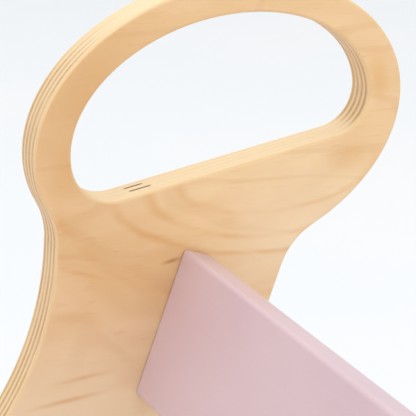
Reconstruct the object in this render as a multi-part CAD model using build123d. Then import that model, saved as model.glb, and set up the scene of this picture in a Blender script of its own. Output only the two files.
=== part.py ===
from build123d import *
import os
from math import asin, cos, degrees, radians, sin, sqrt

# Rocking horse for a toddler. +X is the horse's front, +Y its left, +Z up, in millimetres.
# Two plywood side panels, each a whole horse profile, are joined by painted cross slats.

# --- driving dimensions ---------------------------------------------------------------
PLY = 12.0                    # thickness of the birch plywood, panels and slats alike
GAP = 240.0                   # clear width between the two side panels
ARRIS = 1.1                   # rounding of the panels' sharp edges
CLEAR = 0.1                   # clearance round screws, plugs, dowels and rubber in their seats

# head: a tilted ellipse with a D-shaped handle hole, both placed from the handle's centre
HANDLE_X, HANDLE_Z = 165.0, 425.0
HEAD_TILT = 9.13              # the muzzle end is raised by this angle
HEAD_OFFSET = (0.8, -6.5)
HEAD_HALF_LENGTH, HEAD_HALF_HEIGHT = 60.8, 43.5
HOLE_SHIFT = 0.9
HOLE_HALF_LENGTH = 49.3
HOLE_TOP, HOLE_SHOULDER, HOLE_FLOOR = 27.0, -6.5, -19.7
HOLE_CORNER = 13.2
THROAT_FILLET = 22.0

# neck and trunk
NECK_LEAN = 20.4              # slope of throat and neck slat from the vertical
NAPE_X, NAPE_Z = -52.4, -32.5  # where the nape stands upright, from the handle's centre
NAPE_RADIUS = 100.0
NAPE_OVERRUN = 14.0           # degrees by which the nape's arc runs on up into the head
THROAT_X, THROAT_Z = 21.5, -54.0
THROAT_LENGTH = 46.0
THROAT_IN_HEAD = 34.0         # how far the throat's line runs up inside the head
SADDLE_LENGTH = 92.0
BACK_RADIUS = 70.0
BACK_LEAN = 20.0
BACK_STRAIGHT = 24.0
RUMP_RADIUS = 30.0
HIND_LEG, HIND_FOOT = [(-224.0, 262.0), (-209.0, 160.0)], (-250.0, 66.0)
CHEST, FORE_FOOT = [(201.0, 150.0), (202.0, 232.0), (180.0, 292.0)], (240.0, 62.0)
RUMP_WAY, HIND_FOOT_WAY, FORE_FOOT_WAY = (-0.12, -1), (-0.6, -1), (-0.6, 1)
BELLY_LOW = (0.0, 24.0)       # the trunk's outline closes inside the rocker

# rockers; the radius is that of the rubber they roll on
ROCK_RADIUS = 850.0
ROCK_HALF_LENGTH = 300.0
ROCK_DEPTH = 46.0
REST_HALF_LENGTH = 34.0       # half of the short flat on which the horse stands still
LEG_FILLET = 26.0
ARCH_HALF_WIDTH, ARCH_TOP, ARCH_SHOULDER = 130.0, 204.0, 92.0
ARCH_CORNER = 22.0

# where the outlines of head, trunk and rocker cross, to the nearest few millimetres
NAPE_CORNER, THROAT_CORNER = (112.4, 396.0), (189.9, 380.0)
HEEL_CORNER, TOE_CORNER = (-240.0, 82.0), (228.7, 78.5)
CORNER_REACH = 8.0

# cross slats: section centres in profile, leans from the vertical, widths
SLAT_WIDTH = 48.0
SLAT_EDGE = 3.0
NECK_ARRIS, NECK_CROWN = 1.5, 5.0  # the neck slat's edges, and its rounder upper front edge
NECK_SLAT_CORNER = (-11.6, -43.3)  # upper rear edge, from the handle's centre
BACK_SLAT_CENTRE, BACK_SLAT_PITCH = (-146.0, 292.0), 56.0
FOOTREST_CENTRE, FOOTREST_LEAN, FOOTREST_WIDTH = (168.0, 114.0), 70.0, 54.0
STRETCHER_X = 248.0
SEAT_SLAT_WIDTH, SEAT_PITCH, SEAT_TOP = 58.0, 64.0, 264.0
SEAT_MIDDLE_X = -34.0
SEAT_END_GAP = 0.5

# seat bearers
BEARER_THICK, BEARER_HEIGHT, BEARER_LENGTH = 20.0, 22.0, 188.0
BEARER_ARRIS = 1.5

# fasteners: shank radius, length, head radius, head thickness
SLAT_SCREW = (2.25, 45.0, 4.2, 2.0)
SEAT_SCREW = (1.75, 28.0, 3.6, 2.0)
BEARER_SCREW = (2.0, 28.0, 4.0, 2.0)
SCREW_POINT, SCREW_DOME = 0.6, 0.45  # share of the shank tapered, of the head rounded
SLAT_SCREW_SPACING, SEAT_SCREW_SPACING = 28.0, 28.0
PLUG_RADIUS, PLUG_DEPTH, PLUG_PROUD = 5.0, 4.0, 0.6
DOWEL_RADIUS, DOWEL_LENGTH, DOWEL_IN_PANEL, DOWEL_BEVEL = 3.0, 30.0, 7.0, 0.6
DRIVE_RADIUS, DRIVE_DEPTH, DRIVE_SIDES = 1.3, 1.4, 6
CUT_OVERRUN = 3.0             # how far a hole runs on past the surface that it opens

# rubber
GRIP_WIDTH, GRIP_THICK, GRIP_PROUD, GRIP_HALF_LENGTH = 6.5, 2.4, 1.0, 252.0
STOP_X = 276.0
STOP_RADIUS, STOP_DROP, STOP_STEM_RADIUS, STOP_STEM = 4.5, 2.8, 2.4, 9.0
STOP_DOME = 0.8               # share of a stop's drop that is rounded

INNER_Y = GAP / 2
OUTER_Y = INNER_Y + PLY
MIDDLE_Y = INNER_Y + PLY / 2
SIDES = (1, -1)
PLUG_FLOOR_Y = OUTER_Y - PLUG_DEPTH
WOOD_RADIUS = ROCK_RADIUS - GRIP_PROUD
REST_SAGITTA = ROCK_RADIUS - sqrt(ROCK_RADIUS**2 - REST_HALF_LENGTH**2)
ROCK_CENTRE_Z = ROCK_RADIUS - REST_SAGITTA
SEAT_BOTTOM = SEAT_TOP - PLY
FLAT_EDGE = 0.01              # an edge with less width than this lies in a panel's face


def side_plane():
    """The profile plane: sketch x is the row's +X and sketch y its +Z."""
    return Plane(origin=(0, 0, 0), x_dir=(1, 0, 0), z_dir=(0, -1, 0))


def from_handle(x, z):
    return (HANDLE_X + x, HANDLE_Z + z)


def tilted(x, z):
    """A point of the head's own axes, turned by the head's tilt, in profile coordinates."""
    c, s = cos(radians(HEAD_TILT)), sin(radians(HEAD_TILT))
    return from_handle(c * x - s * z, s * x + c * z)


def rock_point(radius, x):
    """The point at x on a circle about the rockers' centre of roll."""
    return (x, ROCK_CENTRE_Z - sqrt(radius**2 - x**2))


# --- side panel profile ---------------------------------------------------------------
def head_face():
    centre = tilted(*HEAD_OFFSET)
    ellipse = Ellipse(HEAD_HALF_LENGTH, HEAD_HALF_HEIGHT)
    return Pos(*centre) * Rot(0, 0, HEAD_TILT) * ellipse


def handle_hole_face():
    """Half an ellipse over a flat floor with two round corners, in the head's own axes."""
    left, right = HOLE_SHIFT - HOLE_HALF_LENGTH, HOLE_SHIFT + HOLE_HALF_LENGTH
    rise = HOLE_TOP - HOLE_SHOULDER
    dome = EllipticalCenterArc((HOLE_SHIFT, HOLE_SHOULDER), HOLE_HALF_LENGTH, rise, 0, arc_size=180)
    diagonal = HOLE_CORNER * (1 - sqrt(0.5))
    rear = ThreePointArc(
        (left, HOLE_SHOULDER),
        (left + diagonal, HOLE_FLOOR + diagonal),
        (left + HOLE_CORNER, HOLE_FLOOR),
    )
    floor = Line((left + HOLE_CORNER, HOLE_FLOOR), (right - HOLE_CORNER, HOLE_FLOOR))
    front = ThreePointArc(
        (right - HOLE_CORNER, HOLE_FLOOR),
        (right - diagonal, HOLE_FLOOR + diagonal),
        (right, HOLE_SHOULDER),
    )
    face = make_face([dome, rear, floor, front])
    return Pos(HANDLE_X, HANDLE_Z) * Rot(0, 0, HEAD_TILT) * face


def trunk_face():
    """Nape, saddle, backrest, rump, hind leg, foreleg, chest and throat in one outline."""
    nape = from_handle(NAPE_X, NAPE_Z)
    nape_centre = (nape[0] - NAPE_RADIUS, nape[1])
    nape_top = (
        nape_centre[0] + NAPE_RADIUS * cos(radians(NAPE_OVERRUN)),
        nape_centre[1] + NAPE_RADIUS * sin(radians(NAPE_OVERRUN)),
    )
    saddle_z = nape[1] - NAPE_RADIUS
    saddle_front = (nape[0] - NAPE_RADIUS, saddle_z)
    saddle_rear = (saddle_front[0] - SADDLE_LENGTH, saddle_z)
    turn = 90 - BACK_LEAN
    back_foot = (
        saddle_rear[0] - BACK_RADIUS * sin(radians(turn)),
        saddle_z + BACK_RADIUS * (1 - cos(radians(turn))),
    )
    along = (-sin(radians(BACK_LEAN)), cos(radians(BACK_LEAN)))
    back_head = (
        back_foot[0] + BACK_STRAIGHT * along[0],
        back_foot[1] + BACK_STRAIGHT * along[1],
    )
    rump = (back_head[0] - RUMP_RADIUS * along[1], back_head[1] + RUMP_RADIUS * along[0])
    rump_top = (rump[0], rump[1] + RUMP_RADIUS)
    rump_rear = (rump[0] - RUMP_RADIUS, rump[1])
    lean = (-sin(radians(NECK_LEAN)), -cos(radians(NECK_LEAN)))
    throat = from_handle(THROAT_X, THROAT_Z)
    throat_top = (throat[0] - THROAT_IN_HEAD * lean[0], throat[1] - THROAT_IN_HEAD * lean[1])
    throat_end = (throat[0] + THROAT_LENGTH * lean[0], throat[1] + THROAT_LENGTH * lean[1])
    edges = [
        CenterArc(nape_centre, NAPE_RADIUS, NAPE_OVERRUN, -90 - NAPE_OVERRUN),
        Line(saddle_front, saddle_rear),
        CenterArc((saddle_rear[0], saddle_z + BACK_RADIUS), BACK_RADIUS, -90, -turn),
        Line(back_foot, back_head),
        ThreePointArc(back_head, rump_top, rump_rear),
        Spline(rump_rear, *HIND_LEG, HIND_FOOT, tangents=[RUMP_WAY, HIND_FOOT_WAY]),
        Line(HIND_FOOT, BELLY_LOW),
        Line(BELLY_LOW, FORE_FOOT),
        Spline(FORE_FOOT, *CHEST, throat_end, tangents=[FORE_FOOT_WAY, (-lean[0], -lean[1])]),
        Line(throat_end, throat_top),
        Line(throat_top, nape_top),
    ]
    return make_face(edges)


def rocker_face():
    """A bent bar with round ends."""
    inner = WOOD_RADIUS - ROCK_DEPTH
    tilt = ROCK_HALF_LENGTH / WOOD_RADIUS
    low = rock_point(WOOD_RADIUS, ROCK_HALF_LENGTH)
    high = rock_point(inner, inner * tilt)
    tip_x = (low[0] + high[0] + ROCK_DEPTH * sqrt(1 - tilt**2)) / 2
    tip_z = (low[1] + high[1] + ROCK_DEPTH * tilt) / 2
    return make_face([
        ThreePointArc((-low[0], low[1]), rock_point(WOOD_RADIUS, 0), low),
        ThreePointArc(low, (tip_x, tip_z), high),
        ThreePointArc(high, rock_point(inner, 0), (-high[0], high[1])),
        ThreePointArc((-high[0], high[1]), (-tip_x, tip_z), (-low[0], low[1])),
    ])


def arch_face():
    """The opening under the belly: half an ellipse over the rocker's upper curve."""
    floor_radius = WOOD_RADIUS - ROCK_DEPTH
    dome = EllipticalCenterArc(
        (0, ARCH_SHOULDER), ARCH_HALF_WIDTH, ARCH_TOP - ARCH_SHOULDER, 0, arc_size=180
    )
    left = rock_point(floor_radius, -ARCH_HALF_WIDTH)
    right = rock_point(floor_radius, ARCH_HALF_WIDTH)
    face = make_face([
        dome,
        Line((-ARCH_HALF_WIDTH, ARCH_SHOULDER), left),
        ThreePointArc(left, rock_point(floor_radius, 0), right),
        Line(right, (ARCH_HALF_WIDTH, ARCH_SHOULDER)),
    ])
    corners = [v for v in face.vertices() if v.Y < ARCH_SHOULDER - CORNER_REACH]
    return fillet(corners, ARCH_CORNER)


def corners_near(face, points):
    return [
        v for v in face.vertices()
        if any(abs(v.X - x) + abs(v.Y - z) < CORNER_REACH for x, z in points)
    ]


def profile_face():
    """The whole side profile with its handle hole and belly arch."""
    body = trunk_face() + head_face()
    body = fillet(corners_near(body, [NAPE_CORNER, THROAT_CORNER]), THROAT_FILLET)
    whole = body + rocker_face()
    whole = fillet(corners_near(whole, [HEEL_CORNER, TOE_CORNER]), LEG_FILLET)
    return whole - handle_hole_face() - arch_face()


# --- places of slats and fasteners ----------------------------------------------------
def stretcher_place(x):
    """A stretcher lies flat in the rocker's bend, at the middle of its depth."""
    middle = WOOD_RADIUS - ROCK_DEPTH / 2
    return (*rock_point(middle, x), 90 - degrees(asin(x / middle)), SLAT_WIDTH)


def slat_places():
    """Name: (x, z, lean, width) of each slat screwed through the panels."""
    neck = radians(NECK_LEAN)
    corner = from_handle(*NECK_SLAT_CORNER)
    neck_x = corner[0] + PLY / 2 * cos(neck) - SLAT_WIDTH / 2 * sin(neck)
    neck_z = corner[1] - PLY / 2 * sin(neck) - SLAT_WIDTH / 2 * cos(neck)
    low_x, low_z = BACK_SLAT_CENTRE
    high_x = low_x - BACK_SLAT_PITCH * sin(radians(BACK_LEAN))
    high_z = low_z + BACK_SLAT_PITCH * cos(radians(BACK_LEAN))
    return {
        "neck_slat": (neck_x, neck_z, NECK_LEAN, SLAT_WIDTH),
        "backrest_slat_lower": (low_x, low_z, -BACK_LEAN, SLAT_WIDTH),
        "backrest_slat_upper": (high_x, high_z, -BACK_LEAN, SLAT_WIDTH),
        "footrest_slat": (*FOOTREST_CENTRE, FOOTREST_LEAN, FOOTREST_WIDTH),
        "front_stretcher": stretcher_place(STRETCHER_X),
        "rear_stretcher": stretcher_place(-STRETCHER_X),
    }


def seat_places():
    names = ("seat_slat_rear", "seat_slat_middle", "seat_slat_front")
    return {
        name: (SEAT_MIDDLE_X + (i - 1) * SEAT_PITCH, SEAT_TOP - PLY / 2, 90.0, SEAT_SLAT_WIDTH)
        for i, name in enumerate(names)
    }


def along_slat(place, distance):
    """The profile point at a distance up a slat's width from its centre."""
    x, z, lean, _ = place
    return (x + distance * sin(radians(lean)), z + distance * cos(radians(lean)))


def slat_screw_points(place):
    return [along_slat(place, side * SLAT_SCREW_SPACING / 2) for side in SIDES]


def seat_screw_xs():
    return [x + s * SEAT_SCREW_SPACING / 2 for x, _, _, _ in seat_places().values() for s in SIDES]


def bearer_screw_points():
    z = SEAT_BOTTOM - BEARER_HEIGHT / 2
    return [(x, z) for x, _, _, _ in seat_places().values()]


# --- simple solids --------------------------------------------------------------------
def cross_pin(point, radius, inner, outer, side):
    """A cylinder along Y at a profile point, from |y| = inner to |y| = outer on one side."""
    middle = side * (inner + outer) / 2
    return Pos(point[0], middle, point[1]) * Rot(90, 0, 0) * Cylinder(radius, outer - inner)


def screw(spec):
    """A pan-head screw along +Z with its head's underside at the origin and its tip above."""
    shank, length, head, thick = spec
    body = Pos(0, 0, length / 2) * Cylinder(shank, length)
    body = chamfer(body.edges().group_by(Axis.Z)[-1], shank * SCREW_POINT)
    cap = Pos(0, 0, -thick / 2) * Cylinder(head, thick)
    cap = fillet(cap.edges().group_by(Axis.Z)[0], thick * SCREW_DOME)
    drive = extrude(RegularPolygon(DRIVE_RADIUS, DRIVE_SIDES), DRIVE_DEPTH)
    return body + cap - Pos(0, 0, -thick) * drive


def screw_hole(spec, head_room):
    """The space for a screw, with its head's seat run out backwards by head_room."""
    shank, length, head, thick = spec
    bore = Pos(0, 0, (length + CLEAR) / 2) * Cylinder(shank + CLEAR, length + CLEAR)
    seat = Pos(0, 0, -(thick + head_room) / 2) * Cylinder(head + CLEAR, thick + head_room)
    return bore + seat


def inward(point, y, side):
    """A place at a profile point whose +Z runs towards the horse's middle."""
    return Pos(point[0], side * y, point[1]) * Rot(side * 90, 0, 0)


def outward(point, y, side):
    return Pos(point[0], side * y, point[1]) * Rot(-side * 90, 0, 0)


def upward(x, side):
    """A seat screw's place: its head sunk flush in the bearer's underside."""
    return Pos(x, side * (INNER_Y - BEARER_THICK / 2), SEAT_BOTTOM - BEARER_HEIGHT + SEAT_SCREW[3])


def slat_screw_seat_y():
    return PLUG_FLOOR_Y - SLAT_SCREW[3]


def bearer_screw_seat_y():
    return INNER_Y - BEARER_THICK + BEARER_SCREW[3]


# --- side panels ----------------------------------------------------------------------
def panel_blank(side):
    """The profile cut from plywood, with all its arrises rounded."""
    near = OUTER_Y if side > 0 else -INNER_Y
    blank = Pos(0, near, 0) * extrude(side_plane() * profile_face(), PLY)
    rims = [e for e in blank.edges() if e.bounding_box().size.Y < FLAT_EDGE]
    return fillet(rims, ARRIS)


def grip_band(side, thick, half_length, width):
    """A curved strip under a rocker, its outer face on the rolling circle and flat at rest."""
    inner = ROCK_RADIUS - thick
    reach = half_length / ROCK_RADIUS * inner
    rear, front = rock_point(ROCK_RADIUS, -half_length), rock_point(ROCK_RADIUS, half_length)
    inner_rear, inner_front = rock_point(inner, -reach), rock_point(inner, reach)
    face = make_face([
        ThreePointArc(rear, rock_point(ROCK_RADIUS, 0), front),
        Line(front, inner_front),
        ThreePointArc(inner_front, rock_point(inner, 0), inner_rear),
        Line(inner_rear, rear),
    ])
    return Pos(0, side * MIDDLE_Y + width / 2, 0) * extrude(side_plane() * face, width)


def stop_place(side, x):
    """On the rocker's wooden underside, with +Z square into the wood."""
    z = rock_point(WOOD_RADIUS, x)[1]
    return Pos(x, side * MIDDLE_Y, z) * Rot(0, -degrees(asin(x / WOOD_RADIUS)), 0)


def stop_hole():
    depth = STOP_STEM + CLEAR
    length = depth + CUT_OVERRUN
    return Pos(0, 0, depth - length / 2) * Cylinder(STOP_STEM_RADIUS + CLEAR, length)


def drilled_panel(side):
    """A side panel with its screw, plug and dowel holes, rubber groove and stop holes."""
    solid = panel_blank(side)
    for place in slat_places().values():
        for point in slat_screw_points(place):
            solid -= inward(point, slat_screw_seat_y(), side) * screw_hole(SLAT_SCREW, 0.0)
            solid -= cross_pin(point, PLUG_RADIUS + CLEAR, PLUG_FLOOR_Y, OUTER_Y + CUT_OVERRUN, side)
        shallow, deep = INNER_Y - CUT_OVERRUN, INNER_Y + DOWEL_IN_PANEL + CLEAR
        solid -= cross_pin(along_slat(place, 0), DOWEL_RADIUS + CLEAR, shallow, deep, side)
    for point in bearer_screw_points():
        solid -= outward(point, bearer_screw_seat_y(), side) * screw_hole(BEARER_SCREW, 0.0)
    solid -= grip_band(side, GRIP_THICK + CLEAR, GRIP_HALF_LENGTH + CLEAR, GRIP_WIDTH + 2 * CLEAR)
    for x in (-STOP_X, STOP_X):
        solid -= stop_place(side, x) * stop_hole()
    return solid


# --- slats and bearers ----------------------------------------------------------------
def long_edges(blank):
    """The edges along Y, in order from the lower rear to the upper front."""
    return blank.edges().filter_by(Axis.Y).sort_by(lambda edge: edge.center().X + edge.center().Z)


def board(place, length, edge=SLAT_EDGE, crown=SLAT_EDGE):
    """A plain slat across the horse with square ends and rounded long edges.

    The upper front edge is rounded by crown and the other three by edge.
    """
    x, z, lean, width = place
    blank = Box(PLY, length, width)
    blank = fillet(long_edges(blank)[:-1], edge)
    blank = fillet(long_edges(blank)[-1], crown)
    return Pos(x, 0, z) * Rot(0, lean, 0) * blank


def cross_slat(place, edge=SLAT_EDGE, crown=SLAT_EDGE):
    """A slat between the panels, bored at each end for two screws and a dowel."""
    solid = board(place, GAP, edge, crown)
    for side in SIDES:
        for point in slat_screw_points(place):
            solid -= inward(point, slat_screw_seat_y(), side) * screw_hole(SLAT_SCREW, 0.0)
        deep, shallow = INNER_Y + DOWEL_IN_PANEL - DOWEL_LENGTH - CLEAR, INNER_Y + CUT_OVERRUN
        solid -= cross_pin(along_slat(place, 0), DOWEL_RADIUS + CLEAR, deep, shallow, side)
    return solid


def seat_slat(place):
    """A seat slat resting on both bearers, bored from below for its screws."""
    solid = board(place, GAP - 2 * SEAT_END_GAP)
    for side in SIDES:
        for x in seat_screw_xs():
            if abs(x - place[0]) < SEAT_PITCH / 2:
                solid -= upward(x, side) * screw_hole(SEAT_SCREW, 0.0)
    return solid


def seat_bearer(side):
    """A square batten on the panel's inner face that carries the seat slats' ends."""
    blank = Box(BEARER_LENGTH, BEARER_THICK, BEARER_HEIGHT)
    blank = chamfer(blank.edges().filter_by(Axis.X), BEARER_ARRIS)
    y = side * (INNER_Y - BEARER_THICK / 2)
    solid = Pos(SEAT_MIDDLE_X, y, SEAT_BOTTOM - BEARER_HEIGHT / 2) * blank
    for x in seat_screw_xs():
        solid -= upward(x, side) * screw_hole(SEAT_SCREW, CUT_OVERRUN)
    for point in bearer_screw_points():
        solid -= outward(point, bearer_screw_seat_y(), side) * screw_hole(BEARER_SCREW, CUT_OVERRUN)
    return solid


# --- fasteners ------------------------------------------------------------------------
def slat_screws():
    one = screw(SLAT_SCREW)
    return [
        inward(point, slat_screw_seat_y(), side) * one
        for place in slat_places().values() for point in slat_screw_points(place) for side in SIDES
    ]


def screw_plugs():
    """Birch plugs over the sunk screw heads, standing slightly proud and eased."""
    height = PLUG_DEPTH + PLUG_PROUD
    plug = Pos(0, 0, height / 2) * Cylinder(PLUG_RADIUS, height)
    plug = fillet(plug.edges().group_by(Axis.Z)[-1], PLUG_PROUD)
    return [
        outward(point, PLUG_FLOOR_Y, side) * plug
        for place in slat_places().values() for point in slat_screw_points(place) for side in SIDES
    ]


def dowels():
    pin = Pos(0, 0, -DOWEL_LENGTH / 2) * Cylinder(DOWEL_RADIUS, DOWEL_LENGTH)
    pin = chamfer(pin.edges().filter_by(GeomType.CIRCLE), DOWEL_BEVEL)
    return [
        outward(along_slat(place, 0), INNER_Y + DOWEL_IN_PANEL, side) * pin
        for place in slat_places().values() for side in SIDES
    ]


def seat_screws():
    one = screw(SEAT_SCREW)
    return [upward(x, side) * one for x in seat_screw_xs() for side in SIDES]


def bearer_screws():
    one = screw(BEARER_SCREW)
    return [outward(p, bearer_screw_seat_y(), side) * one for p in bearer_screw_points() for side in SIDES]


# --- rubber ---------------------------------------------------------------------------
def rocker_grip(side):
    """The strip that the horse rolls on, flat for a short way where it stands at rest."""
    strip = grip_band(side, GRIP_THICK, GRIP_HALF_LENGTH, GRIP_WIDTH)
    room = 2 * ROCK_HALF_LENGTH
    return strip & Pos(0, side * MIDDLE_Y, room / 2) * Box(room, room, room)


def tip_stops():
    """Rubber buttons that stop the rockers from rolling past their tips."""
    stem = Pos(0, 0, STOP_STEM / 2) * Cylinder(STOP_STEM_RADIUS, STOP_STEM)
    head = Pos(0, 0, -STOP_DROP / 2) * Cylinder(STOP_RADIUS, STOP_DROP)
    head = fillet(head.edges().group_by(Axis.Z)[0], STOP_DROP * STOP_DOME)
    return [stop_place(side, x) * (stem + head) for side in SIDES for x in (-STOP_X, STOP_X)]


# --- all nodes ------------------------------------------------------------------------
def nodes():
    made = {"side_panel_left": [drilled_panel(1)], "side_panel_right": [drilled_panel(-1)]}
    for name, place in slat_places().items():
        edges = (NECK_ARRIS, NECK_CROWN) if name == "neck_slat" else ()
        made[name] = [cross_slat(place, *edges)]
    for name, place in seat_places().items():
        made[name] = [seat_slat(place)]
    made["seat_bearer_left"] = [seat_bearer(1)]
    made["seat_bearer_right"] = [seat_bearer(-1)]
    made["slat_screws"] = slat_screws()
    made["screw_plugs"] = screw_plugs()
    made["dowels"] = dowels()
    made["seat_screws"] = seat_screws()
    made["bearer_screws"] = bearer_screws()
    made["rocker_grip_left"] = [rocker_grip(1)]
    made["rocker_grip_right"] = [rocker_grip(-1)]
    made["tip_stops"] = tip_stops()
    return made


def solids_of(shapes):
    return [solid for shape in shapes for solid in shape.solids()]


os.makedirs("parts", exist_ok=True)
for name, shapes in nodes().items():
    found = solids_of(shapes)
    export_step(found[0] if len(found) == 1 else Compound(children=found), f"parts/{name}.step")
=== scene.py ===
import functools
import math

import bmesh
import bpy
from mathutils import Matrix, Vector


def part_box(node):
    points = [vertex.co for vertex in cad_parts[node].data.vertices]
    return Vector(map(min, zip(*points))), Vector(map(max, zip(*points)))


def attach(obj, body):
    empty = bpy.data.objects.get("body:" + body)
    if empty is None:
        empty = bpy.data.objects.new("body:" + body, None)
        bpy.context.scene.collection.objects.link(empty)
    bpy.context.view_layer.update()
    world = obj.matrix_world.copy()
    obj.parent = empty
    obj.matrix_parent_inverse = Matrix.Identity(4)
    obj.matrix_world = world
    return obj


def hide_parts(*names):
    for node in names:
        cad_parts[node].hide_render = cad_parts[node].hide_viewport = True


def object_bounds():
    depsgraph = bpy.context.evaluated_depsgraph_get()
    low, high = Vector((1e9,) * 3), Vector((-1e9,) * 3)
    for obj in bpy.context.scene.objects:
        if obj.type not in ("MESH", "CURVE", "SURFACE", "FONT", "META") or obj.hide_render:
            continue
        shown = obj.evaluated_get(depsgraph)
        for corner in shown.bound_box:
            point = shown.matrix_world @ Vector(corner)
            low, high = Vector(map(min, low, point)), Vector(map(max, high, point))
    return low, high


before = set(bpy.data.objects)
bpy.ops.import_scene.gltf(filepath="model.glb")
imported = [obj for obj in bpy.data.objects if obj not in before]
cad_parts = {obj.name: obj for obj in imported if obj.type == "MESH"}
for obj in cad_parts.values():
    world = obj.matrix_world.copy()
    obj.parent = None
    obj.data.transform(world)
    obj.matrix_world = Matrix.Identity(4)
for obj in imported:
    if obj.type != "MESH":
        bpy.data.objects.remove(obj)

CAD_BOX = [list(corner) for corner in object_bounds()]

# --- sizes, in metres -----------------------------------------------------------------
PANEL_LOW, PANEL_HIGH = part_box("side_panel_left")
INNER_Y = PANEL_LOW.y         # the left panel's inner face, and minus the right panel's
SHEET = PANEL_HIGH.y - PANEL_LOW.y
PLY_COUNT = 9
ARRIS_STEPS = 6
WALL_STEPS = 4                # spans between a wall's two arrises
CURVE_STEP = 0.0011           # spacing of the points along a rounded outline
STRAIGHT_RATIO = 1.8          # a segment this much longer than its neighbour is a straight run
LEAST_LOOP = 0.06             # a shorter outline is a bore that a plug, slat or bearer covers
SLAT_STEP = 0.0006
SLAT_JOINT = 0.0003           # the dark joint line between a slat's end and its panel
SLAT_END = 0.0004             # easing of a slat's ends
OFF_PLANE = 1e-6              # how far a point of a flat face may lie from its plane
PLACES = 6                    # decimal places that outline points are matched to
LARGE_FACES = 100             # how far a normal leans to its larger faces, at most 100

SLATS = [
    "neck_slat", "backrest_slat_lower", "backrest_slat_upper", "footrest_slat",
    "front_stretcher", "rear_stretcher", "seat_slat_rear", "seat_slat_middle", "seat_slat_front",
]

# --- camera: it looks over the right panel's saddle at the left panel's head -----------
HANDLE = Vector((0.165, INNER_Y, 0.425))   # the middle of the handle hole, on the inner face
CAMERA_FROM_HANDLE = Vector((-0.2203, -0.4890, 0.1474))
CAMERA_FORWARD = Vector((0.3840, 0.8672, -0.3170))
LENS, SENSOR = 160.96154, 36.0             # in millimetres
CLIP_NEAR, CLIP_FAR = 0.01, 50.0


def srgb(red, green, blue):
    """A colour written the way a screen shows it, 0 to 255, as linear light."""
    parts = [value / 255 for value in (red, green, blue)]
    linear = [v / 12.92 if v <= 0.04045 else ((v + 0.055) / 1.055) ** 2.4 for v in parts]
    return (*linear, 1.0)


# --- colours ---------------------------------------------------------------------------
FACE_PALE = srgb(243, 210, 163)
FACE_GOLD = srgb(234, 195, 142)
FACE_PEACH = srgb(240, 202, 158)
FACE_LINE = srgb(216, 166, 108)
# painted shade (deep) and painted light (pale) for spots on the left panel's head
PAINTED_SHADE_DEEP = srgb(220, 172, 112)
PAINTED_LIGHT_PALE = srgb(248, 225, 192)
FACE_RING = srgb(222, 165, 96)
STREAK = srgb(186, 120, 52)
PLY_PALE = srgb(244, 220, 180)
PLY_LIGHT = srgb(229, 195, 147)
PLY_DARK = srgb(205, 167, 118)
PLY_BROWN = srgb(186, 140, 92)
ARRIS_GOLD = srgb(236, 203, 150)
SLIT_BROWN = srgb(98, 58, 34)
MAUVE = srgb(215, 190, 196)
MAUVE_DEEP = srgb(211, 184, 191)
MAUVE_PALE = srgb(224, 203, 206)
PLUG_DEEP = srgb(226, 180, 128)
BEECH = srgb(224, 186, 142)
BEECH_DEEP = srgb(206, 160, 114)
BEECH_FLECK = srgb(150, 100, 62)
ZINC = srgb(214, 216, 218)
ZINC_BLUE = srgb(196, 205, 216)
RUBBER = srgb(58, 58, 60)
RUBBER_DUSTY = srgb(84, 83, 82)
FLOOR = srgb(232, 232, 233)
FLOOR_DEEP = srgb(229, 231, 232)

# figure in the left panel's face with painted shade and light among it, each (across, up) from
# the handle's middle, half width, half height, tilt in degrees, strength and colour; the deep
# spot is painted shade and the two pale spots are painted light
FIGURE_AND_PAINTED_LIGHT = [
    # painted shade: darkens the head to the left of the handle
    (-0.0400, 0.0050, 0.0420, 0.0420, 0, 0.75, PAINTED_SHADE_DEEP),
    # painted light: the next two pale spots brighten the neck and throat
    (-0.0600, -0.1000, 0.0900, 0.0560, 0, 0.90, PAINTED_LIGHT_PALE),
    (0.0250, -0.0450, 0.0500, 0.0300, 30, 0.60, PAINTED_LIGHT_PALE),
    (-0.0158, -0.0466, 0.0046, 0.0011, 9, 0.75, STREAK),
    (-0.0450, -0.0800, 0.0130, 0.0013, 4, 0.45, FACE_RING),
    (-0.0500, -0.0866, 0.0170, 0.0014, 4, 0.55, FACE_RING),
    (-0.0440, -0.0468, 0.0110, 0.0013, -19, 0.40, FACE_RING),
    (-0.0480, -0.0600, 0.0120, 0.0030, -8, 0.30, FACE_RING),
    (-0.0480, -0.0160, 0.0130, 0.0110, 60, 0.35, FACE_RING),
    (0.0540, 0.0030, 0.0050, 0.0120, 10, 0.40, FACE_RING),
    (0.0440, -0.0200, 0.0110, 0.0060, 30, 0.30, FACE_RING),
]
# growth rings round one centre of figure: its place from the handle's middle, the half width
# and half height of the ring, the line's share of them, and its strength
RINGS = [
    (0.020, -0.022, 0.055, 0.0260, 0.060, 0.60),
    (0.020, -0.022, 0.044, 0.0205, 0.070, 0.45),
    (0.020, -0.022, 0.034, 0.0130, 0.090, 0.30),
    (0.020, -0.022, 0.072, 0.0400, 0.045, 0.25),
]
RING_WANDER = 0.16            # how far a ring strays from its ellipse, as a share of it
RING_FLOOR, RING_CEILING = -0.2, 0.3       # a ring fades out between these shares of its height
# how closely the growth lines follow each other, in the plywood's face and in the battens
GROWTH_LINES, BATTEN_LINES = 75.0, 70.0
# thin gaps in the cross plies: how far along from the handle's middle, how deep in the sheet
# from its inner face, and half the length
SLITS = [(-0.0250, 0.0080, 0.0034), (-0.0240, 0.0047, 0.0040)]
SLIT_CORE, SLIT_EDGE = 0.0002, 0.0006      # half thickness where a slit is darkest and ends
SLIT_BODY = 0.7               # the share of a slit's length with its full depth of colour
# only the handle hole's bottom wall lies between these two ranges of height from its middle
HOLE_FLOOR, HOLE_MIDDLE = (-0.030, -0.026), (0.005, 0.010)

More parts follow.
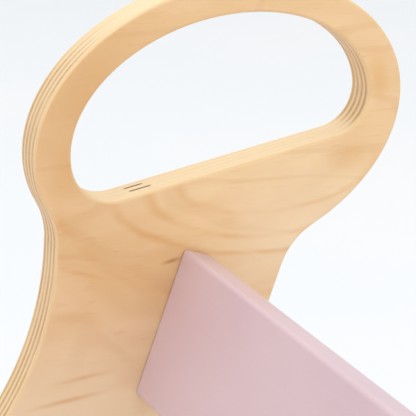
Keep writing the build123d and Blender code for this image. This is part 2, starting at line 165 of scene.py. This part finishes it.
# --- how fine each pattern is: cycles per metre along x, y and z -----------------------
FACE_CLOUDS = (14, 40, 34)
FACE_WAVES = (8, 40, 17)
FACE_MOTTLE = (60, 60, 130)
FACE_DASHES = (110, 60, 1100)
RING_SWAY = (45, 1, 45)
RING_BREAKS = (50, 1, 50)
PLY_SWAY = (30, 30, 30)
PLY_FADE = (45, 420, 45)
PLY_FIBRE = (90, 2600, 90)
PLY_PORES = (900, 1500, 900)
PAINT_CLOUDS = (18, 18, 18)
PAINT_DIMPLES = (900, 900, 900)
PAINT_GRAIN = (500, 14, 500)
BATTEN_RINGS = (5, 60, 60)
BATTEN_GRAIN = (24, 900, 900)
PLUG_TONE = (45, 45, 45)
PLUG_GRAIN = (160, 60, 1500)
DOWEL_GRAIN = (1500, 60, 1500)
DOWEL_FLECKS = (1400, 260, 1400)
ZINC_CAST = (160, 160, 160)
ZINC_MARKS = (2600, 2600, 2600)
RUBBER_GRAIN = (1100, 1100, 1100)
RUBBER_DUST = (35, 35, 35)
FLOOR_PATCHES = (3, 3, 3)

# --- how strongly a pattern tints its surface, from 0 to 1 -----------------------------
PEACH_SHARE = 0.6
GROWTH_SHARE = 0.22
FLECK_SHARE = 0.24
GLUE_SHARE = 0.35
PORE_SHARE = 0.22
ARRIS_SHARE = 0.5
PAINT_GRAIN_SHARE = 0.12
BATTEN_GRAIN_SHARE = 0.35
PLUG_GRAIN_SHARE = 0.4

# --- noise ----------------------------------------------------------------------------
NOISE_MIDDLE = 0.5
MOST = (0.3, 0.7)             # the range that holds most of a noise's values

# --- the range of each material's roughness ---------------------------------------------
LACQUER_ROUGHNESS = (0.42, 0.52)
EDGE_ROUGHER = 0.14           # how much rougher the plywood's edges are than its face
PAINT_ROUGHNESS = (0.36, 0.46)
BATTEN_ROUGHNESS = (0.5, 0.6)
PLUG_ROUGHNESS = (0.45, 0.6)
DOWEL_ROUGHNESS = (0.55, 0.7)
ZINC_ROUGHNESS = (0.26, 0.42)
RUBBER_ROUGHNESS = (0.72, 0.86)
FLOOR_ROUGHNESS = (0.75, 0.85)

# --- how deep each material's relief is, in metres, and the shares that make it up ------
PLYWOOD_RELIEF = 0.00005
PAINT_RELIEF = 0.00004
PLANED_RELIEF = 0.00006
DOWEL_RELIEF = 0.00008
ZINC_RELIEF = 0.00003
RUBBER_RELIEF = 0.0001
FLECK_HEIGHT, DARK_PLY_HEIGHT, FIBRE_HEIGHT = -0.5, -0.8, 0.5
DIMPLE_HEIGHT, PAINT_GRAIN_HEIGHT = 0.6, 0.5

# --- where an edge faces, by its normal, which also sets the painted light on the plies ---
UPWARD = (0.60, 0.95)         # plies fade under painted light as a wall turns up over this range of z
REARWARD = (-0.75, -0.2)      # a wall that faces the rear, with x below this, shows them best; walls facing forward lose contrast to painted light
ON_EDGE = (0.80, 0.97)        # the range of |y| over which a panel's edge turns into its face
ON_ARRIS = (0.05, 0.55)       # the range of |y| over which a wall turns into its arris
LEVEL = (0.8, 0.95)           # the range of z over which a wall comes to count as level
PAINTED_LIGHT_UP_CONTRAST, PAINTED_LIGHT_FORWARD_CONTRAST = 0.12, 0.75   # shares of the plies' contrast left there under painted light
UPWARD_PAINTED_LIGHT = 0.6             # painted light: how much paler the light plies are on a wall that faces up

# --- the plies, by a wave that is 1 in the middle of a dark one and -1 in a light one --
DARK_BAND = (-0.35, 0.75)     # the range over which a ply turns dark
GLUE_BAND = 0.30              # glue shows this near to 0
PLY_WANDER = 0.6              # how far the plies sway, in plies

# --- studio ----------------------------------------------------------------------------
FLOOR_RADIUS = 8.0
FLOOR_SEGMENTS = 96
FLOOR_GAP = 0.0002
WORLD_COLOUR = (0.93, 0.955, 0.98, 1.0)
WORLD_STRENGTH = 0.84
# each light's name, place, aim, diameter, watts and colour
LIGHTS = [
    ("top", (0.5, 0.9, 3.2), (0.4, 0.7, 0.0), 3.6, 46.0, (1.0, 0.99, 0.97)),
    ("key", (0.9, -2.6, 1.3), (0.15, 0.1, 0.4), 1.8, 16.0, (1.0, 0.98, 0.95)),
    ("fill", (-2.6, -0.5, 1.3), (0.1, 0.0, 0.35), 1.8, 16.0, (0.98, 0.99, 1.0)),
]


def make_camera():
    data = bpy.data.cameras.new("camera")
    data.sensor_width = SENSOR
    data.lens = LENS
    data.clip_start, data.clip_end = CLIP_NEAR, CLIP_FAR
    camera = bpy.data.objects.new("camera", data)
    camera.location = HANDLE + CAMERA_FROM_HANDLE
    camera.rotation_mode = "QUATERNION"
    camera.rotation_quaternion = CAMERA_FORWARD.to_track_quat("-Z", "Y")
    bpy.context.scene.collection.objects.link(camera)
    bpy.context.scene.camera = camera


# --- fine meshes from the CAD nodes' own outlines --------------------------------------
def face_loops(node, y):
    """The closed outlines of a CAD node's flat face at that y, as lists of (x, z) points."""
    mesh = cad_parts[node].data
    edges = {}
    for polygon in mesh.polygons:
        points = [mesh.vertices[i].co for i in polygon.vertices]
        if any(abs(p.y - y) > OFF_PLANE for p in points):
            continue
        keys = [(round(p.x, PLACES), round(p.z, PLACES)) for p in points]
        for a, b in zip(keys, keys[1:] + keys[:1]):
            if edges.pop((b, a), None) is None:
                edges[(a, b)] = True
    follow = {a: b for a, b in edges}
    loops = []
    while follow:
        start, point = follow.popitem()
        loop = [start]
        while point != start:
            loop.append(point)
            point = follow.pop(point)
        loops.append([Vector(p) for p in loop])
    return loops


def length_of(loop):
    return sum((b - a).length for a, b in zip(loop, loop[1:] + loop[:1]))


def tangent(before, here, after):
    """The direction of a smooth outline at one of its points: a circle's through three
    points, or a straight run's own where one side is much longer than the other."""
    a, b = here - before, after - here
    if a.length > STRAIGHT_RATIO * b.length:
        return a.normalized()
    if b.length > STRAIGHT_RATIO * a.length:
        return b.normalized()
    return (a.normalized() * b.length + b.normalized() * a.length).normalized()


def smooth_loop(loop, step):
    """The same outline with points no further apart than step, on cubic arcs."""
    count = len(loop)
    tangents = [tangent(loop[i - 1], loop[i], loop[(i + 1) % count]) for i in range(count)]
    points = []
    for i in range(count):
        a, b = loop[i], loop[(i + 1) % count]
        span = (b - a).length
        ta, tb = tangents[i] * span, tangents[(i + 1) % count] * span
        steps = max(1, math.ceil(span / step))
        for k in range(steps):
            t = k / steps
            h = (2 * t**3 - 3 * t**2 + 1, t**3 - 2 * t**2 + t, 3 * t**2 - 2 * t**3, t**3 - t**2)
            points.append(a * h[0] + ta * h[1] + b * h[2] + tb * h[3])
    return points


def outward_normals(points):
    """Unit normals to the right of the way the points run."""
    count = len(points)
    normals = []
    for i in range(count):
        way = points[(i + 1) % count] - points[i - 1]
        normals.append(Vector((way.y, -way.x)).normalized())
    return normals


def rounded_rings(arris, thick):
    """(outset, y from the near face) of each ring of a wall whose two arrises are rounded."""
    near = []
    for k in range(ARRIS_STEPS + 1):
        a = math.radians(90 * k / ARRIS_STEPS)
        near.append((arris * math.sin(a), arris * (1 - math.cos(a))))
    wall = thick - 2 * arris
    middle = [(arris, arris + wall * k / WALL_STEPS) for k in range(1, WALL_STEPS)]
    return near + middle + [(d, thick - y) for d, y in reversed(near)]


def area_of(points):
    return sum(a.x * b.y - b.x * a.y for a, b in zip(points, points[1:] + points[:1])) / 2


def outer_first(loops):
    return sorted(loops, key=lambda loop: -abs(area_of(loop)))


def fill_cap(bm, rings, flip):
    """Closes the plane between one ring of vertices and the rings inside it."""
    edges = []
    for ring in rings:
        for a, b in zip(ring, ring[1:] + ring[:1]):
            edges.append(bm.edges.get((a, b)) or bm.edges.new((a, b)))
    made = bmesh.ops.triangle_fill(bm, edges=edges, use_beauty=True)
    faces = [f for f in made["geom"] if isinstance(f, bmesh.types.BMFace)]
    wanted = -1 if flip else 1
    for face in faces:
        face.normal_update()
        if face.normal.y * wanted < 0:
            face.normal_flip()


def prism(name, loops, near_y, thick, arris, inset=0.0, step=CURVE_STEP):
    """A solid between two planes of constant y, from outlines on its flat faces.

    The wall stands out from the outlines by the rounded arris. With an inset, the outlines
    are the wall's own and the flat faces are that much smaller.
    """
    bm = bmesh.new()
    caps = ([], [])
    smooth = [smooth_loop(loop, step) for loop in outer_first(loops)]
    outward = 1 if area_of(smooth[0]) > 0 else -1
    for points in smooth:
        normals = outward_normals(points)
        rings = []
        for outset, y in rounded_rings(arris, thick):
            out = outward * (outset - inset)
            ring = [
                bm.verts.new((p.x + out * n.x, near_y + y, p.y + out * n.y))
                for p, n in zip(points, normals)
            ]
            rings.append(ring)
        for low, high in zip(rings, rings[1:]):
            count = len(low)
            for i in range(count):
                j = (i + 1) % count
                bm.faces.new((low[i], low[j], high[j], high[i]))
        caps[0].append(rings[0])
        caps[1].append(rings[-1])
    fill_cap(bm, caps[0], flip=True)
    fill_cap(bm, caps[1], flip=False)
    bmesh.ops.recalc_face_normals(bm, faces=bm.faces)
    mesh = bpy.data.meshes.new(name)
    bm.to_mesh(mesh)
    bm.free()
    return add_piece(name, mesh)


def add_piece(name, mesh):
    for polygon in mesh.polygons:
        polygon.use_smooth = True
    piece = bpy.data.objects.new(name, mesh)
    bpy.context.scene.collection.objects.link(piece)
    weighted = piece.modifiers.new("normals", "WEIGHTED_NORMAL")
    weighted.keep_sharp = True
    weighted.weight = LARGE_FACES
    return piece


# --- materials -------------------------------------------------------------------------
class Shader:
    """A material whose nodes are made one by one."""

    # a colour Mix node's sockets, which share their names with those of its other types
    MIX_FACTOR, MIX_A, MIX_B, MIX_RESULT = 0, 6, 7, 2

    def __init__(self, name, **settings):
        self.material = bpy.data.materials.new(name)
        self.material.use_nodes = True
        self.tree = self.material.node_tree
        self.surface = self.tree.nodes["Principled BSDF"]
        for setting, value in settings.items():
            socket = setting.replace("_", " ").title()
            self.surface.inputs[socket].default_value = value
        coordinates = self.tree.nodes.new("ShaderNodeTexCoord")
        self.place = coordinates.outputs["Object"]
        self.normal = coordinates.outputs["Normal"]

    def feed(self, socket, value):
        if isinstance(value, bpy.types.NodeSocket):
            self.tree.links.new(value, socket)
        else:
            socket.default_value = value

    def math(self, operation, *values):
        node = self.tree.nodes.new("ShaderNodeMath")
        node.operation = operation
        for socket, value in zip(node.inputs, values):
            self.feed(socket, value)
        return node.outputs[0]

    def add(self, a, b):
        return self.math("ADD", a, b)

    def less(self, a, b):
        return self.math("SUBTRACT", a, b)

    def times(self, *values):
        return functools.reduce(lambda a, b: self.math("MULTIPLY", a, b), values)

    def size(self, value):
        return self.math("ABSOLUTE", value)

    def reach(self, a, b):
        """The length of a vector with these two parts."""
        return self.math("SQRT", self.add(self.times(a, a), self.times(b, b)))

    def axes(self, vector=None):
        node = self.tree.nodes.new("ShaderNodeSeparateXYZ")
        self.feed(node.inputs[0], vector or self.place)
        return node.outputs

    def scaled(self, scale):
        """Object coordinates times a scale for each axis, in cycles per metre."""
        node = self.tree.nodes.new("ShaderNodeMapping")
        node.vector_type = "POINT"
        self.feed(node.inputs["Vector"], self.place)
        node.inputs["Scale"].default_value = scale
        return node.outputs[0]

    def noise(self, scale, detail=3.0, rough=0.5, bend=0.0):
        node = self.tree.nodes.new("ShaderNodeTexNoise")
        self.feed(node.inputs["Vector"], self.scaled(scale))
        node.inputs["Scale"].default_value = 1.0
        node.inputs["Detail"].default_value = detail
        node.inputs["Roughness"].default_value = rough
        node.inputs["Distortion"].default_value = bend
        return node.outputs["Fac"]

    def cells(self, scale):
        node = self.tree.nodes.new("ShaderNodeTexVoronoi")
        self.feed(node.inputs["Vector"], self.scaled(scale))
        node.inputs["Scale"].default_value = 1.0
        return node.outputs["Distance"]

    def step(self, value, low, high, to_low=0.0, to_high=1.0):
        """A smooth step of value from to_low at low to to_high at high."""
        node = self.tree.nodes.new("ShaderNodeMapRange")
        node.interpolation_type = "SMOOTHSTEP"
        for socket, number in zip(node.inputs, (value, low, high, to_low, to_high)):
            self.feed(socket, number)
        return node.outputs[0]

    def mix(self, factor, a, b):
        node = self.tree.nodes.new("ShaderNodeMix")
        node.data_type = "RGBA"
        self.feed(node.inputs[self.MIX_FACTOR], factor)
        self.feed(node.inputs[self.MIX_A], a)
        self.feed(node.inputs[self.MIX_B], b)
        return node.outputs[self.MIX_RESULT]

    def spot(self, centre, half, tilt):
        """1 in the middle of an ellipse on the x-z plane, falling to 0 at its edge."""
        x, _, z = self.axes()
        dx, dz = self.less(x, centre[0]), self.less(z, centre[1])
        cosine, sine = math.cos(math.radians(tilt)), math.sin(math.radians(tilt))
        along = self.add(self.times(dx, cosine / half[0]), self.times(dz, sine / half[0]))
        across = self.add(self.times(dz, cosine / half[1]), self.times(dx, -sine / half[1]))
        return self.step(self.reach(along, across), 0.0, 1.0, 1.0, 0.0)

    def bump(self, height, distance):
        node = self.tree.nodes.new("ShaderNodeBump")
        node.inputs["Strength"].default_value = 1.0
        node.inputs["Distance"].default_value = distance
        self.feed(node.inputs["Height"], height)
        self.tree.links.new(node.outputs[0], self.surface.inputs["Normal"])

    def finish(self, colour, roughness):
        self.feed(self.surface.inputs["Base Color"], colour)
        self.feed(self.surface.inputs["Roughness"], roughness)
        return self.material


@functools.cache
def plywood_material():
    """Clear-lacquered birch plywood: a rotary-cut face, and nine plies along its edges."""
    s = Shader("birch_plywood", coat_weight=0.06, coat_roughness=0.35)
    flatness = s.size(s.axes(s.normal)[1])
    edge = s.step(flatness, *ON_EDGE, 1.0, 0.0)
    arris = s.times(edge, s.step(flatness, *ON_ARRIS))
    mottle = s.noise(FACE_MOTTLE, detail=4, rough=0.65)
    fleck = s.step(s.noise(FACE_DASHES, detail=3, rough=0.6), 0.56, 0.72)
    fibre = s.noise(PLY_FIBRE, detail=3, rough=0.6)
    band = ply_wave(s)
    fade = s.step(s.noise(PLY_FADE, detail=2), 0.30, 0.62, 0.35, 1.0)
    dark = s.times(s.step(band, *DARK_BAND), edge, fade)
    glue = s.times(s.step(s.size(band), 0.0, GLUE_BAND, 1.0, 0.0), edge)
    face = face_colour(s, mottle, fleck)
    side = side_colour(s, dark, glue, fibre, arris)
    relief = s.add(s.times(fleck, FLECK_HEIGHT), s.times(dark, DARK_PLY_HEIGHT))
    relief = s.add(relief, s.times(fibre, edge, FIBRE_HEIGHT))
    s.bump(relief, PLYWOOD_RELIEF)
    face_roughness = s.step(mottle, *MOST, *LACQUER_ROUGHNESS)
    roughness = s.add(face_roughness, s.times(edge, EDGE_ROUGHER))
    return s.finish(s.mix(edge, face, side), roughness)


def depth_in_sheet(s):
    """How far a point of either panel lies from the panel's inner face."""
    return s.less(s.size(s.axes()[1]), INNER_Y)


def ply_wave(s):
    """Below 0 in the light plies and above 0 in the dark ones, which sway a little."""
    sway = s.times(s.less(s.noise(PLY_SWAY, detail=2), NOISE_MIDDLE), PLY_WANDER)
    ply = s.add(s.times(depth_in_sheet(s), PLY_COUNT / SHEET), sway)
    return s.times(s.math("SINE", s.times(ply, math.pi)), -1.0)


def face_colour(s, mottle, fleck):
    """Broad clouds, wavy growth lines, short dashes of grain, and the head's own figure with its
    painted shade and painted light.
    """
    clouds = s.noise(FACE_CLOUDS, detail=3, rough=0.55, bend=0.7)
    waves = s.noise(FACE_WAVES, detail=2, rough=0.45, bend=0.4)
    growth = s.step(s.math("SINE", s.times(waves, GROWTH_LINES)), 0.70, 1.0)
    face = s.mix(s.step(clouds, 0.36, 0.64), FACE_GOLD, FACE_PALE)
    face = s.mix(s.times(s.step(mottle, 0.42, 0.68), PEACH_SHARE), face, FACE_PEACH)
    face = s.mix(s.times(growth, GROWTH_SHARE), face, FACE_LINE)
    face = s.mix(s.times(fleck, FLECK_SHARE), face, FACE_LINE)
    return ringed(s, figured_and_painted_light(s, face))


def figured_and_painted_light(s, face):
    """The clouds and streaks of figure around the head and neck of the left panel, with a spot
    of painted shade beside the handle and pale patches of painted light on the neck.
    """
    left = on_left(s)
    for across, up, width, height, tilt, amount, tone in FIGURE_AND_PAINTED_LIGHT:
        shape = s.spot((HANDLE.x + across, HANDLE.z + up), (width, height), tilt)
        face = s.mix(s.times(shape, amount, left), face, tone)
    return face


def ringed(s, face):
    """Broken growth rings that open upwards, on the left panel."""
    left = on_left(s)
    x, _, z = s.axes()
    wander = s.times(s.less(s.noise(RING_SWAY, detail=3), NOISE_MIDDLE), RING_WANDER)
    broken = s.step(s.noise(RING_BREAKS, detail=2), 0.35, 0.60, 0.25, 1.0)
    for across, up, width, height, thick, amount in RINGS:
        middle = HANDLE.z + up
        dx = s.times(s.less(x, HANDLE.x + across), 1 / width)
        dz = s.times(s.less(z, middle), 1 / height)
        off = s.size(s.less(s.add(s.reach(dx, dz), wander), 1.0))
        line = s.times(s.step(off, 0.0, thick, 1.0, 0.0), broken)
        low, high = middle + height * RING_FLOOR, middle + height * RING_CEILING
        lower = s.step(z, low, high, 1.0, 0.0)
        face = s.mix(s.times(line, lower, left, amount), face, FACE_RING)
    return face


def on_left(s):
    """1 on the left panel and 0 on the right one."""
    return s.step(s.axes()[1], -INNER_Y, INNER_Y)


def side_colour(s, dark, glue, fibre, arris):
    """Light and dark plies, each with a grain that runs along the edge, paler and lower in
    contrast where painted light falls on walls that face up or forward.
    """
    nx, _, nz = s.axes(s.normal)
    # painted light: plies wash out on walls that face up or forward
    painted_light_up = s.step(nz, *UPWARD, 1.0, PAINTED_LIGHT_UP_CONTRAST)
    contrast = s.times(painted_light_up, s.step(nx, *REARWARD, 1.0, PAINTED_LIGHT_FORWARD_CONTRAST))
    pores = s.noise(PLY_PORES, detail=2, rough=0.6)
    light_ply = s.mix(s.step(fibre, 0.35, 0.75, 0.0, 0.7), PLY_LIGHT, PLY_PALE)
    # painted light: light plies turn paler on walls that face up
    light_ply = s.mix(s.step(nz, *UPWARD, 0.0, UPWARD_PAINTED_LIGHT), light_ply, PLY_PALE)
    dark_ply = s.mix(s.step(pores, 0.40, 0.65), PLY_DARK, PLY_BROWN)
    side = s.mix(s.times(dark, contrast), light_ply, dark_ply)
    side = s.mix(s.times(glue, contrast, GLUE_SHARE), side, PLY_BROWN)
    side = s.mix(s.times(s.step(pores, 0.55, 0.72), PORE_SHARE), side, PLY_PALE)
    side = s.mix(s.times(arris, ARRIS_SHARE), side, ARRIS_GOLD)
    return slitted(s, nz, side)


def slitted(s, nz, side):
    """Two thin gaps in the cross plies where they show in the bottom of the handle hole."""
    x, _, z = s.axes()
    depth = depth_in_sheet(s)
    above = s.step(z, *(HANDLE.z + height for height in HOLE_FLOOR))
    below = s.step(z, *(HANDLE.z + height for height in HOLE_MIDDLE), 1.0, 0.0)
    in_hole = s.times(s.step(nz, *LEVEL), above, below)
    for along, into, half_length in SLITS:
        away = s.size(s.less(x, HANDLE.x + along))
        deep = s.size(s.less(depth, into))
        body = s.step(away, half_length * SLIT_BODY, half_length, 1.0, 0.0)
        gap = s.times(body, s.step(deep, SLIT_CORE, SLIT_EDGE, 1.0, 0.0))
        side = s.mix(s.times(gap, in_hole), side, SLIT_BROWN)
    return side


@functools.cache
def paint_material():
    """Mauve satin paint over plywood, with the faint dimples that a roller leaves."""
    s = Shader("mauve_paint", coat_weight=0.3, coat_roughness=0.3)
    clouds = s.noise(PAINT_CLOUDS, detail=2)
    dimples = s.noise(PAINT_DIMPLES, detail=2, rough=0.5)
    grain = s.noise(PAINT_GRAIN, detail=3, rough=0.6)
    colour = s.mix(s.step(clouds, *MOST), MAUVE_DEEP, MAUVE)
    colour = s.mix(s.times(s.step(grain, 0.5, 0.75), PAINT_GRAIN_SHARE), colour, MAUVE_PALE)
    relief = s.add(s.times(dimples, DIMPLE_HEIGHT), s.times(grain, PAINT_GRAIN_HEIGHT))
    s.bump(relief, PAINT_RELIEF)
    return s.finish(colour, s.step(clouds, *MOST, *PAINT_ROUGHNESS))


@functools.cache
def solid_birch_material():
    """Planed solid birch, its grain along the seat."""
    s = Shader("solid_birch")
    rings = s.math("SINE", s.times(s.noise(BATTEN_RINGS, detail=2, bend=0.4), BATTEN_LINES))
    grain = s.noise(BATTEN_GRAIN, detail=3, rough=0.6)
    colour = s.mix(s.step(rings, -0.2, 1.0), FACE_PALE, FACE_GOLD)
    colour = s.mix(s.times(s.step(grain, 0.45, 0.75), BATTEN_GRAIN_SHARE), colour, FACE_LINE)
    s.bump(grain, PLANED_RELIEF)
    return s.finish(colour, s.step(grain, *MOST, *BATTEN_ROUGHNESS))


@functools.cache
def plug_material():
    """Birch plugs, their grain in line with the face that they fill."""
    s = Shader("plug_birch")
    grain = s.noise(PLUG_GRAIN, detail=3, rough=0.6)
    tone = s.noise(PLUG_TONE, detail=1)
    colour = s.mix(s.step(tone, 0.35, 0.65), PLUG_DEEP, FACE_PALE)
    colour = s.mix(s.times(s.step(grain, 0.45, 0.7), PLUG_GRAIN_SHARE), colour, FACE_LINE)
    s.bump(grain, PLANED_RELIEF)
    return s.finish(colour, s.step(grain, *MOST, *PLUG_ROUGHNESS))


@functools.cache
def dowel_material():
    """Beech dowels, with the short dark flecks that beech has."""
    s = Shader("beech_dowel")
    grain = s.noise(DOWEL_GRAIN, detail=3, rough=0.6)
    flecks = s.cells(DOWEL_FLECKS)
    colour = s.mix(s.step(grain, 0.35, 0.7), BEECH, BEECH_DEEP)
    colour = s.mix(s.step(flecks, 0.05, 0.25, 0.6, 0.0), colour, BEECH_FLECK)
    s.bump(grain, DOWEL_RELIEF)
    return s.finish(colour, s.step(grain, *MOST, *DOWEL_ROUGHNESS))


@functools.cache
def zinc_material():
    """Bright zinc plating with fine turning marks and a faint bluish cast."""
    s = Shader("zinc_steel", metallic=1.0)
    cast = s.noise(ZINC_CAST, detail=2)
    marks = s.noise(ZINC_MARKS, detail=3, rough=0.6)
    colour = s.mix(s.step(cast, 0.35, 0.65), ZINC, ZINC_BLUE)
    s.bump(marks, ZINC_RELIEF)
    return s.finish(colour, s.step(marks, *MOST, *ZINC_ROUGHNESS))


@functools.cache
def rubber_material():
    """Dark grey rubber, matt, with a moulded grain and a thin patchy dust."""
    s = Shader("grip_rubber")
    grain = s.cells(RUBBER_GRAIN)
    dust = s.noise(RUBBER_DUST, detail=4, rough=0.6)
    colour = s.mix(s.step(dust, 0.45, 0.75), RUBBER, RUBBER_DUSTY)
    s.bump(grain, RUBBER_RELIEF)
    return s.finish(colour, s.step(dust, *MOST, *RUBBER_ROUGHNESS))


def floor_material():
    s = Shader("pale_floor")
    tone = s.noise(FLOOR_PATCHES, detail=3)
    colour = s.mix(s.step(tone, *MOST), FLOOR, FLOOR_DEEP)
    return s.finish(colour, s.step(tone, *MOST, *FLOOR_ROUGHNESS))


# --- pieces ----------------------------------------------------------------------------
def panel_piece(side):
    """A side panel in plywood, its outlines and arrises those of the CAD node."""
    node = f"side_panel_{side}"
    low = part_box(node)[0]
    loops = [loop for loop in face_loops(node, low.y) if length_of(loop) > LEAST_LOOP]
    arris = min(point.x for loop in loops for point in loop) - low.x
    piece = prism(f"{node}_plywood", loops, low.y, SHEET, arris)
    finish_piece(piece, node, plywood_material())


def slat_piece(node):
    """A painted slat with softened ends, a hair short of the panels it is screwed to."""
    low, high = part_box(node)
    outline = outer_first(face_loops(node, low.y))[0]
    near = low.y + SLAT_JOINT
    length = high.y - low.y - 2 * SLAT_JOINT
    piece = prism(f"{node}_board", [outline], near, length, SLAT_END, SLAT_END, SLAT_STEP)
    finish_piece(piece, node, paint_material())


def finish_piece(piece, node, material):
    piece.data.materials.append(material)
    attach(piece, "root")
    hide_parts(node)


CAD_MATERIALS = {
    "seat_bearer_left": solid_birch_material,
    "seat_bearer_right": solid_birch_material,
    "screw_plugs": plug_material,
    "dowels": dowel_material,
    "slat_screws": zinc_material,
    "seat_screws": zinc_material,
    "bearer_screws": zinc_material,
    "rocker_grip_left": rubber_material,
    "rocker_grip_right": rubber_material,
    "tip_stops": rubber_material,
}


def dress_cad_nodes():
    for node, make in CAD_MATERIALS.items():
        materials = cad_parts[node].data.materials
        materials.clear()
        materials.append(make())


# --- floor and light -------------------------------------------------------------------
def make_floor():
    bm = bmesh.new()
    bmesh.ops.create_circle(bm, cap_ends=True, segments=FLOOR_SEGMENTS, radius=FLOOR_RADIUS)
    mesh = bpy.data.meshes.new("floor")
    bm.to_mesh(mesh)
    bm.free()
    floor = bpy.data.objects.new("floor", mesh)
    floor.location.z = CAD_BOX[0][2] - FLOOR_GAP
    mesh.materials.append(floor_material())
    bpy.context.scene.collection.objects.link(floor)


def make_light(name, place, aim, size, watts, colour):
    data = bpy.data.lights.new(name, "AREA")
    data.shape = "DISK"
    data.size = size
    data.energy = watts
    data.color = colour
    light = bpy.data.objects.new(name, data)
    light.location = place
    light.rotation_mode = "QUATERNION"
    light.rotation_quaternion = (Vector(aim) - Vector(place)).to_track_quat("-Z", "Y")
    bpy.context.scene.collection.objects.link(light)


def make_studio():
    world = bpy.data.worlds.new("studio")
    world.use_nodes = True
    background = world.node_tree.nodes["Background"]
    background.inputs["Color"].default_value = WORLD_COLOUR
    background.inputs["Strength"].default_value = WORLD_STRENGTH
    bpy.context.scene.world = world
    for light in LIGHTS:
        make_light(*light)
    bpy.context.scene.view_settings.view_transform = "Standard"


make_camera()
for side in ("left", "right"):
    panel_piece(side)
for node in SLATS:
    slat_piece(node)
dress_cad_nodes()
make_floor()
make_studio()
